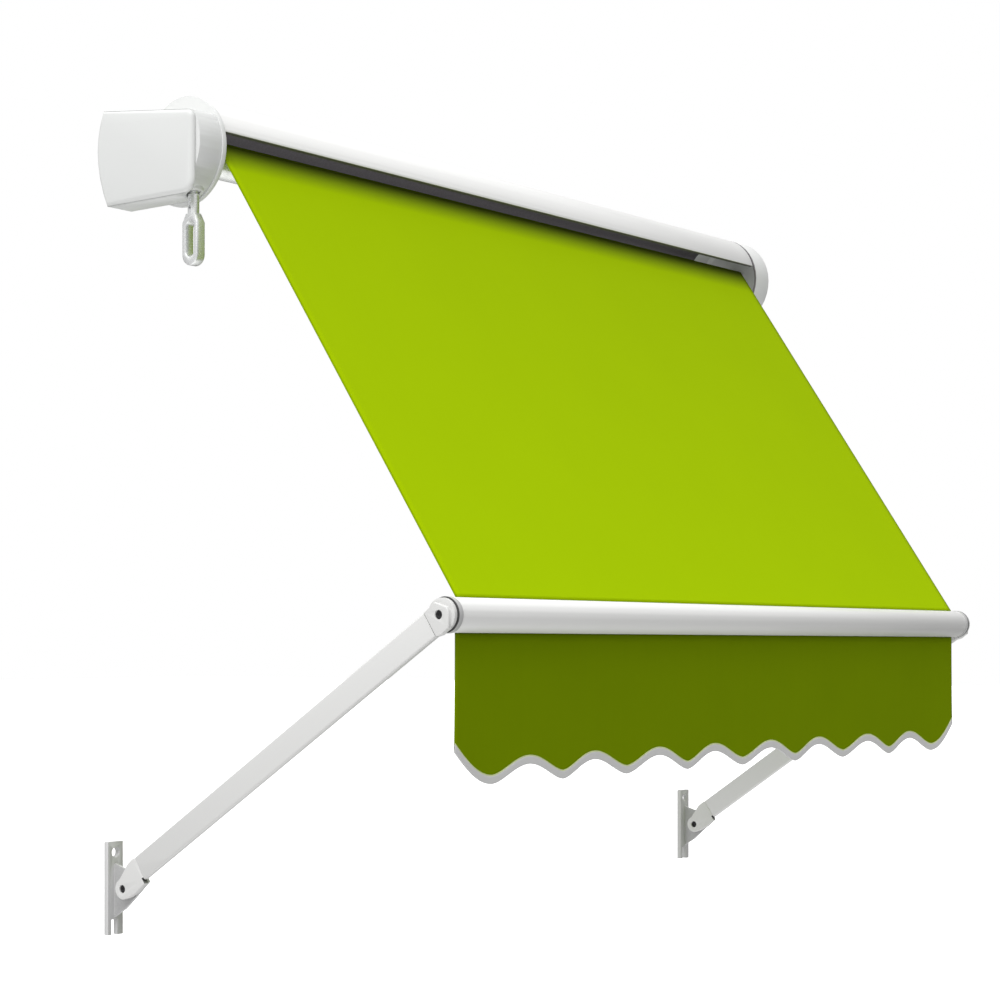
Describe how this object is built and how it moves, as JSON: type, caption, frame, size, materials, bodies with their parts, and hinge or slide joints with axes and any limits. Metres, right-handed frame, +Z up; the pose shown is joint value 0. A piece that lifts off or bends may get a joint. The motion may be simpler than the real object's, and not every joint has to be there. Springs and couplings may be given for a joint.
{
  "type": "canvas awning",
  "caption": "Wall-fixed drop-arm window awning: half-round hood with crank-driven roller, sloping canvas, round front bar with scalloped valance, folding arms.",
  "frame": {"origin": "middle of the width, on the wall face of the middle hood bracket, level with the hood's axis", "axes": "+X along the awning's width, +Y into the wall, +Z up"},
  "size_m": [1.337, 0.5522, 1.031],
  "materials": {
    "white_paint": "smooth satin white",
    "arm_paint": "satin off-white",
    "cast_grey": "light grey coated casting",
    "white_plastic": "moulded off-white",
    "zinc_steel": "zinc plated",
    "black_steel": "black oxide",
    "brass": "plain",
    "dark_plastic": "moulded",
    "lime_canvas": "woven lime green canvas",
    "olive_valance": "woven dark green canvas with a light grey binding",
    "cord_plastic": "extruded cord"
  },
  "bodies": {
    "root": {"hood": "white_paint", "end_plate_left": "white_plastic", "end_cap_right": "white_plastic", "gear_case": "white_plastic", "crank_bush": "white_plastic", "idler_bush": "brass", "guide_rod": "cast_grey", "hood_bracket_left": "cast_grey", "hood_bracket_middle": "cast_grey", "hood_bracket_right": "cast_grey", "wall_plate_left": "cast_grey", "wall_plate_right": "cast_grey", "arm_pin_left": "black_steel", "arm_pin_right": "black_steel", "canvas_lead": "lime_canvas"},
    "roller": {"roller_tube": "zinc_steel", "roller_drive_plug": "dark_plastic", "roller_idler_plug": "dark_plastic", "worm_wheel": "brass"},
    "crank": {"worm_shaft": "zinc_steel", "crank_eye": "zinc_steel"},
    "arm_left": {"arm_tube_left": "arm_paint", "arm_knuckle_low_left": "arm_paint", "arm_knuckle_high_left": "arm_paint", "arm_spring_left": "zinc_steel", "spring_rod_left": "zinc_steel"},
    "arm_right": {"arm_tube_right": "arm_paint", "arm_knuckle_low_right": "arm_paint", "arm_knuckle_high_right": "arm_paint", "arm_spring_right": "zinc_steel", "spring_rod_right": "zinc_steel"},
    "front_bar": {"front_bar": "white_paint", "canvas_cord": "cord_plastic", "valance_cord": "cord_plastic", "bar_cap_left": "white_plastic", "bar_cap_right": "white_plastic", "bar_bolt_left": "black_steel", "bar_bolt_right": "black_steel", "valance": "olive_valance"},
    "canvas": {"canvas": "lime_canvas"}
  },
  "joints": [
    {"name": "arm_left_fold", "type": "hinge", "parent": "root", "child": "arm_left", "pos_m": [0, -0.0334, -0.894], "axis": [-1, 0, 0], "range_deg": [0, 55]},
    {"name": "arm_right_fold", "type": "hinge", "parent": "root", "child": "arm_right", "pos_m": [0, -0.0334, -0.894], "axis": [-1, 0, 0], "range_deg": [0, 55]},
    {"name": "bar_level", "type": "hinge", "parent": "arm_left", "child": "front_bar", "pos_m": [0, -0.532, -0.563], "axis": [1, 0, 0], "range_deg": [0, 55]},
    {"name": "canvas_swing", "type": "hinge", "parent": "root", "child": "canvas", "pos_m": [0, -0.16, 0.002], "axis": [1, 0, 0], "range_deg": [0, 57], "deforming": ["canvas"]},
    {"name": "roller_turn", "type": "hinge", "parent": "root", "child": "roller", "pos_m": [0, -0.118, -0.004], "axis": [-1, 0, 0], "range_deg": [0, 966]},
    {"name": "crank_turn", "type": "hinge", "parent": "root", "child": "crank", "pos_m": [-0.62, -0.149, -0.1], "axis": [0, 0, -1], "range_deg": [0, 12560]}
  ],
  "couplings": [
    {"joint": "arm_right_fold", "follows": "arm_left_fold", "ratio": 1},
    {"joint": "bar_level", "follows": "arm_left_fold", "ratio": 1},
    {"joint": "canvas_swing", "follows": "arm_left_fold", "ratio": 1.0319},
    {"joint": "roller_turn", "follows": "arm_left_fold", "ratio": 17.561},
    {"joint": "crank_turn", "follows": "arm_left_fold", "ratio": 228.29}
  ]
}
